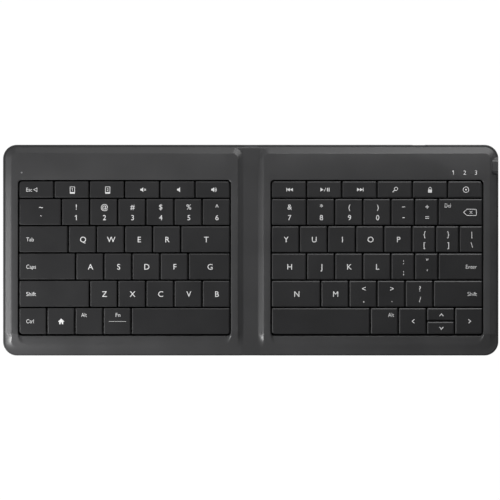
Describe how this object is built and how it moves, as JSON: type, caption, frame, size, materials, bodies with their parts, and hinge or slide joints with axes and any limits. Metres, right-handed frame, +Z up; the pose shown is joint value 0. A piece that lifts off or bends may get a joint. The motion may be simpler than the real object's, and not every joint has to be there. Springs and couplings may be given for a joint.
{
  "type": "folding keyboard",
  "caption": "Slim wireless keyboard in two keyed halves that fold shut like a book about a narrow double-hinged spine, with sprung keys and a power button.",
  "frame": {"origin": "under the middle of the open keyboard, on the surface it lies on", "axes": "+X to the right along the open keyboard, +Y away from the person typing, +Z up out of the keys"},
  "size_m": [0.295, 0.1254, 0.0053],
  "materials": {
    "soft_touch_shell": "soft-touch dark grey, fine grain",
    "switch_plate": "rolled sheet",
    "contact_sheet": "polyester sheet with printed contacts",
    "key_switch": "moulded scissor links and silicone domes",
    "battery_foil": "pouch foil",
    "magnet": "nickel plated",
    "hinge_metal": "blackened steel",
    "spine_bar": "anodised dark",
    "spine_skin": "soft dark grey polyurethane",
    "pin_steel": "ground wire",
    "flex_cable": "polyimide",
    "circuit_board": "solder mask",
    "socket_steel": "stamped shell",
    "light_lens": "clear-white light guide",
    "indicator_lens": "smoked light guide",
    "button_skin": "soft dark grey",
    "keycap": "satin dark grey, white printed legends"
  },
  "bodies": {
    "left_half": {"left_frame": "soft_touch_shell", "left_base": "soft_touch_shell", "left_switch_plate": "switch_plate", "left_contact_sheet": "contact_sheet", "left_key_switches": "key_switch", "left_battery": "battery_foil", "left_magnets": "magnet", "left_hinge_leaf": "hinge_metal", "charge_light": "light_lens"},
    "spine": {"spine_core": "spine_bar", "spine_skin": "spine_skin", "hinge_pins": "pin_steel", "hinge_flex": "flex_cable"},
    "right_half": {"right_frame": "soft_touch_shell", "right_base": "soft_touch_shell", "right_switch_plate": "switch_plate", "right_contact_sheet": "contact_sheet", "right_key_switches": "key_switch", "main_board": "circuit_board", "usb_socket": "socket_steel", "right_magnets": "magnet", "right_hinge_leaf": "hinge_metal", "indicator_lenses": "indicator_lens"},
    "power_button": {"power_button": "button_skin"},
    "left_function_keys": {"left_function_keys": "keycap"},
    "left_number_keys": {"left_number_keys": "keycap"},
    "left_modifier_keys": {"left_modifier_keys": "keycap"},
    "left_space_key": {"left_space_key": "keycap"},
    "right_function_keys": {"right_function_keys": "keycap"},
    "right_number_keys": {"right_number_keys": "keycap"},
    "right_symbol_keys": {"right_symbol_keys": "keycap"},
    "right_modifier_keys": {"right_modifier_keys": "keycap"},
    "right_space_key": {"right_space_key": "keycap"},
    "enter_key": {"enter_key": "keycap"},
    "key_q": {"key_q": "keycap"},
    "key_w": {"key_w": "keycap"},
    "key_e": {"key_e": "keycap"},
    "key_r": {"key_r": "keycap"},
    "key_t": {"key_t": "keycap"},
    "key_a": {"key_a": "keycap"},
    "key_s": {"key_s": "keycap"},
    "key_d": {"key_d": "keycap"},
    "key_f": {"key_f": "keycap"},
    "key_g": {"key_g": "keycap"},
    "key_z": {"key_z": "keycap"},
    "key_x": {"key_x": "keycap"},
    "key_c": {"key_c": "keycap"},
    "key_v": {"key_v": "keycap"},
    "key_b": {"key_b": "keycap"},
    "key_y": {"key_y": "keycap"},
    "key_u": {"key_u": "keycap"},
    "key_i": {"key_i": "keycap"},
    "key_o": {"key_o": "keycap"},
    "key_p": {"key_p": "keycap"},
    "key_h": {"key_h": "keycap"},
    "key_j": {"key_j": "keycap"},
    "key_k": {"key_k": "keycap"},
    "key_l": {"key_l": "keycap"},
    "key_n": {"key_n": "keycap"},
    "key_m": {"key_m": "keycap"}
  },
  "joints": [
    {"name": "left_hinge_fold", "type": "hinge", "parent": "left_half", "child": "spine", "pos_m": [-0.0037, 0, 0.0019], "axis": [0, -1, 0], "range_deg": [0, 90]},
    {"name": "right_hinge_fold", "type": "hinge", "parent": "spine", "child": "right_half", "pos_m": [0.0037, 0, 0.0019], "axis": [0, -1, 0], "range_deg": [0, 90]},
    {"name": "power_button_press", "type": "slide", "parent": "right_half", "child": "power_button", "axis": [0, 0, -1], "range_m": [0, 0.0004], "stiffness_N_per_m": 1500},
    {"name": "left_function_keys_press", "type": "slide", "parent": "left_half", "child": "left_function_keys", "axis": [0, 0, -1], "range_m": [0, 0.0012], "stiffness_N_per_m": 2700, "deforming": ["left_key_switches"]},
    {"name": "left_number_keys_press", "type": "slide", "parent": "left_half", "child": "left_number_keys", "axis": [0, 0, -1], "range_m": [0, 0.0012], "stiffness_N_per_m": 3150, "deforming": ["left_key_switches"]},
    {"name": "left_modifier_keys_press", "type": "slide", "parent": "left_half", "child": "left_modifier_keys", "axis": [0, 0, -1], "range_m": [0, 0.0012], "stiffness_N_per_m": 3150, "deforming": ["left_key_switches"]},
    {"name": "left_space_key_press", "type": "slide", "parent": "left_half", "child": "left_space_key", "axis": [0, 0, -1], "range_m": [0, 0.0012], "stiffness_N_per_m": 450, "deforming": ["left_key_switches"]},
    {"name": "right_function_keys_press", "type": "slide", "parent": "right_half", "child": "right_function_keys", "axis": [0, 0, -1], "range_m": [0, 0.0012], "stiffness_N_per_m": 2700, "deforming": ["right_key_switches"]},
    {"name": "right_number_keys_press", "type": "slide", "parent": "right_half", "child": "right_number_keys", "axis": [0, 0, -1], "range_m": [0, 0.0012], "stiffness_N_per_m": 3150, "deforming": ["right_key_switches"]},
    {"name": "right_symbol_keys_press", "type": "slide", "parent": "right_half", "child": "right_symbol_keys", "axis": [0, 0, -1], "range_m": [0, 0.0012], "stiffness_N_per_m": 3600, "deforming": ["right_key_switches"]},
    {"name": "right_modifier_keys_press", "type": "slide", "parent": "right_half", "child": "right_modifier_keys", "axis": [0, 0, -1], "range_m": [0, 0.0012], "stiffness_N_per_m": 2700, "deforming": ["right_key_switches"]},
    {"name": "right_space_key_press", "type": "slide", "parent": "right_half", "child": "right_space_key", "axis": [0, 0, -1], "range_m": [0, 0.0012], "stiffness_N_per_m": 450, "deforming": ["right_key_switches"]},
    {"name": "enter_key_press", "type": "slide", "parent": "right_half", "child": "enter_key", "axis": [0, 0, -1], "range_m": [0, 0.0012], "stiffness_N_per_m": 450, "deforming": ["right_key_switches"]},
    {"name": "key_q_press", "type": "slide", "parent": "left_half", "child": "key_q", "axis": [0, 0, -1], "range_m": [0, 0.0012], "stiffness_N_per_m": 450, "deforming": ["left_key_switches"]},
    {"name": "key_w_press", "type": "slide", "parent": "left_half", "child": "key_w", "axis": [0, 0, -1], "range_m": [0, 0.0012], "stiffness_N_per_m": 450, "deforming": ["left_key_switches"]},
    {"name": "key_e_press", "type": "slide", "parent": "left_half", "child": "key_e", "axis": [0, 0, -1], "range_m": [0, 0.0012], "stiffness_N_per_m": 450, "deforming": ["left_key_switches"]},
    {"name": "key_r_press", "type": "slide", "parent": "left_half", "child": "key_r", "axis": [0, 0, -1], "range_m": [0, 0.0012], "stiffness_N_per_m": 450, "deforming": ["left_key_switches"]},
    {"name": "key_t_press", "type": "slide", "parent": "left_half", "child": "key_t", "axis": [0, 0, -1], "range_m": [0, 0.0012], "stiffness_N_per_m": 450, "deforming": ["left_key_switches"]},
    {"name": "key_a_press", "type": "slide", "parent": "left_half", "child": "key_a", "axis": [0, 0, -1], "range_m": [0, 0.0012], "stiffness_N_per_m": 450, "deforming": ["left_key_switches"]},
    {"name": "key_s_press", "type": "slide", "parent": "left_half", "child": "key_s", "axis": [0, 0, -1], "range_m": [0, 0.0012], "stiffness_N_per_m": 450, "deforming": ["left_key_switches"]},
    {"name": "key_d_press", "type": "slide", "parent": "left_half", "child": "key_d", "axis": [0, 0, -1], "range_m": [0, 0.0012], "stiffness_N_per_m": 450, "deforming": ["left_key_switches"]},
    {"name": "key_f_press", "type": "slide", "parent": "left_half", "child": "key_f", "axis": [0, 0, -1], "range_m": [0, 0.0012], "stiffness_N_per_m": 450, "deforming": ["left_key_switches"]},
    {"name": "key_g_press", "type": "slide", "parent": "left_half", "child": "key_g", "axis": [0, 0, -1], "range_m": [0, 0.0012], "stiffness_N_per_m": 450, "deforming": ["left_key_switches"]},
    {"name": "key_z_press", "type": "slide", "parent": "left_half", "child": "key_z", "axis": [0, 0, -1], "range_m": [0, 0.0012], "stiffness_N_per_m": 450, "deforming": ["left_key_switches"]},
    {"name": "key_x_press", "type": "slide", "parent": "left_half", "child": "key_x", "axis": [0, 0, -1], "range_m": [0, 0.0012], "stiffness_N_per_m": 450, "deforming": ["left_key_switches"]},
    {"name": "key_c_press", "type": "slide", "parent": "left_half", "child": "key_c", "axis": [0, 0, -1], "range_m": [0, 0.0012], "stiffness_N_per_m": 450, "deforming": ["left_key_switches"]},
    {"name": "key_v_press", "type": "slide", "parent": "left_half", "child": "key_v", "axis": [0, 0, -1], "range_m": [0, 0.0012], "stiffness_N_per_m": 450, "deforming": ["left_key_switches"]},
    {"name": "key_b_press", "type": "slide", "parent": "left_half", "child": "key_b", "axis": [0, 0, -1], "range_m": [0, 0.0012], "stiffness_N_per_m": 450, "deforming": ["left_key_switches"]},
    {"name": "key_y_press", "type": "slide", "parent": "right_half", "child": "key_y", "axis": [0, 0, -1], "range_m": [0, 0.0012], "stiffness_N_per_m": 450, "deforming": ["right_key_switches"]},
    {"name": "key_u_press", "type": "slide", "parent": "right_half", "child": "key_u", "axis": [0, 0, -1], "range_m": [0, 0.0012], "stiffness_N_per_m": 450, "deforming": ["right_key_switches"]},
    {"name": "key_i_press", "type": "slide", "parent": "right_half", "child": "key_i", "axis": [0, 0, -1], "range_m": [0, 0.0012], "stiffness_N_per_m": 450, "deforming": ["right_key_switches"]},
    {"name": "key_o_press", "type": "slide", "parent": "right_half", "child": "key_o", "axis": [0, 0, -1], "range_m": [0, 0.0012], "stiffness_N_per_m": 450, "deforming": ["right_key_switches"]},
    {"name": "key_p_press", "type": "slide", "parent": "right_half", "child": "key_p", "axis": [0, 0, -1], "range_m": [0, 0.0012], "stiffness_N_per_m": 450, "deforming": ["right_key_switches"]},
    {"name": "key_h_press", "type": "slide", "parent": "right_half", "child": "key_h", "axis": [0, 0, -1], "range_m": [0, 0.0012], "stiffness_N_per_m": 450, "deforming": ["right_key_switches"]},
    {"name": "key_j_press", "type": "slide", "parent": "right_half", "child": "key_j", "axis": [0, 0, -1], "range_m": [0, 0.0012], "stiffness_N_per_m": 450, "deforming": ["right_key_switches"]},
    {"name": "key_k_press", "type": "slide", "parent": "right_half", "child": "key_k", "axis": [0, 0, -1], "range_m": [0, 0.0012], "stiffness_N_per_m": 450, "deforming": ["right_key_switches"]},
    {"name": "key_l_press", "type": "slide", "parent": "right_half", "child": "key_l", "axis": [0, 0, -1], "range_m": [0, 0.0012], "stiffness_N_per_m": 450, "deforming": ["right_key_switches"]},
    {"name": "key_n_press", "type": "slide", "parent": "right_half", "child": "key_n", "axis": [0, 0, -1], "range_m": [0, 0.0012], "stiffness_N_per_m": 450, "deforming": ["right_key_switches"]},
    {"name": "key_m_press", "type": "slide", "parent": "right_half", "child": "key_m", "axis": [0, 0, -1], "range_m": [0, 0.0012], "stiffness_N_per_m": 450, "deforming": ["right_key_switches"]}
  ]
}
